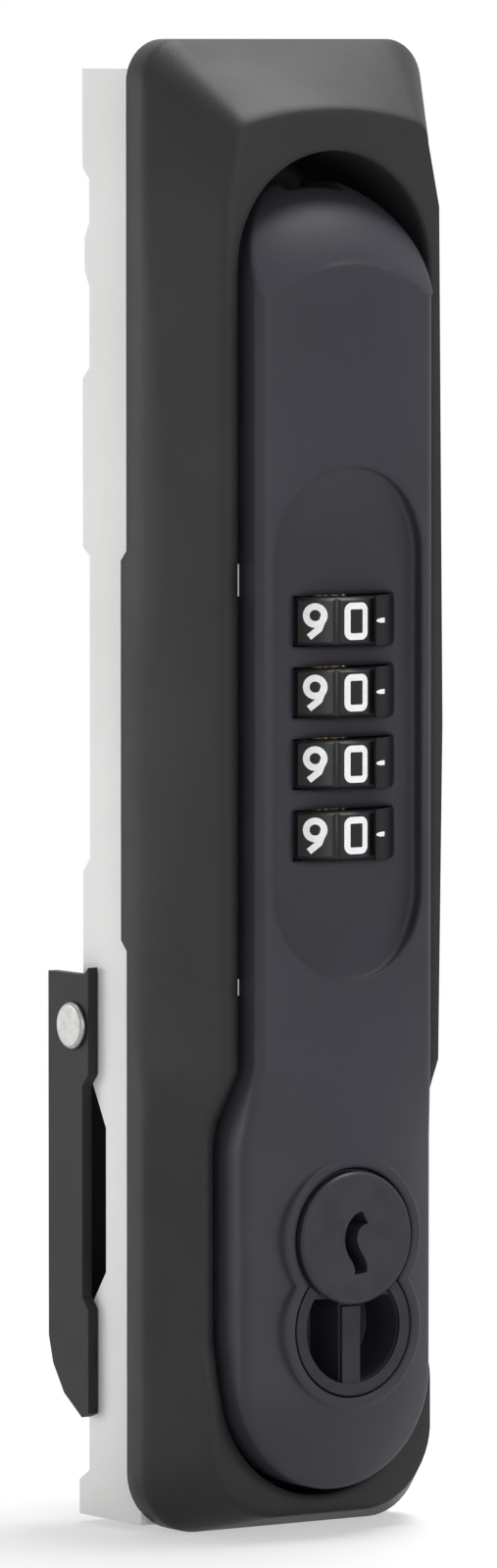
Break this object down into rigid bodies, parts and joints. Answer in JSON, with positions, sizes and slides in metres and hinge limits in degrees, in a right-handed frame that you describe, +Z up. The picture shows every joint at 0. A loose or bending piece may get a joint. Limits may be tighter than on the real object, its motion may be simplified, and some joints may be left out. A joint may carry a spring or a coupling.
{
  "type": "cabinet door lock",
  "caption": "Swing-handle door lock with combination wheels and a key plug in a slim dished cover, for a rack cabinet door.",
  "frame": {"origin": "centre of the plane in which the cover's flange seats on the door's outer face", "axes": "+Z up along the cover, +Y into the cabinet, +X to the right as seen from in front"},
  "size_m": [0.0442, 0.0472, 0.1914],
  "materials": {
    "cover_black": "fine moulded texture, satin black",
    "handle_black": "fine texture, satin blue-black",
    "base_grey": "light grey moulding",
    "guard_black": "satin black",
    "plate_black": "satin black",
    "core_black": "satin black",
    "plug_black": "satin black, turned face",
    "dial_black": "black with white numbers",
    "index_black": "black with white marks",
    "bush_plastic": "natural acetal",
    "zinc": "zinc plated",
    "steel": "zinc plated",
    "bright_steel": "bright",
    "spring_steel": "blued",
    "brass": "machined"
  },
  "bodies": {
    "root": {"front_cover": "cover_black", "base_housing": "base_grey", "cover_screws": "steel", "fixing_inserts": "brass", "catch_keeper": "steel", "keeper_screws": "steel", "spindle": "steel", "spindle_bush": "bush_plastic", "spindle_circlip": "spring_steel", "drive_cam": "zinc", "cam_sleeve": "steel", "cam_washer": "steel", "cam_screw": "steel", "guard_pin": "bright_steel"},
    "handle": {"handle_shell": "handle_black", "handle_back_plate": "plate_black", "back_plate_screws": "steel", "pivot_pin": "bright_steel", "dial_shaft": "bright_steel", "index_strip": "index_black", "detent_spring": "spring_steel", "fence_bar": "steel", "core_body": "core_black", "core_cap": "core_black"},
    "plug": {"lock_plug": "plug_black", "throw_cam": "zinc", "throw_cam_screw": "steel"},
    "catch": {"catch_slide": "zinc"},
    "guard": {"rear_guard": "guard_black"},
    "dial_1": {"dial_wheel_1": "dial_black", "code_hub_1": "brass"},
    "dial_2": {"dial_wheel_2": "dial_black", "code_hub_2": "brass"},
    "dial_3": {"dial_wheel_3": "dial_black", "code_hub_3": "brass"},
    "dial_4": {"dial_wheel_4": "dial_black", "code_hub_4": "brass"}
  },
  "joints": [
    {"name": "handle_lift", "type": "hinge", "parent": "root", "child": "handle", "pos_m": [0, -0.0055, 0.066], "axis": [-1, 0, 0], "range_deg": [0, 30]},
    {"name": "plug_turn", "type": "hinge", "parent": "handle", "child": "plug", "pos_m": [0, -0.0125, -0.057], "axis": [0, 1, 0], "range_deg": [0, 90]},
    {"name": "catch_throw", "type": "slide", "parent": "handle", "child": "catch", "axis": [0, 0, -1], "range_m": [0, 0.0035]},
    {"name": "guard_swing", "type": "hinge", "parent": "root", "child": "guard", "pos_m": [0, 0.0129, -0.0312], "axis": [1, 0, 0], "range_deg": [0, 75]},
    {"name": "dial_1_turn", "type": "hinge", "parent": "handle", "child": "dial_1", "pos_m": [0, -0.0117, 0.0218], "axis": [0, 0, 1], "continuous": true},
    {"name": "dial_2_turn", "type": "hinge", "parent": "handle", "child": "dial_2", "pos_m": [0, -0.0117, 0.0127], "axis": [0, 0, 1], "continuous": true},
    {"name": "dial_3_turn", "type": "hinge", "parent": "handle", "child": "dial_3", "pos_m": [0, -0.0117, 0.0036], "axis": [0, 0, 1], "continuous": true},
    {"name": "dial_4_turn", "type": "hinge", "parent": "handle", "child": "dial_4", "pos_m": [0, -0.0117, -0.0055], "axis": [0, 0, 1], "continuous": true}
  ],
  "couplings": [
    {"joint": "plug_turn", "follows": "catch_throw", "rad_per_m": 448.8}
  ]
}
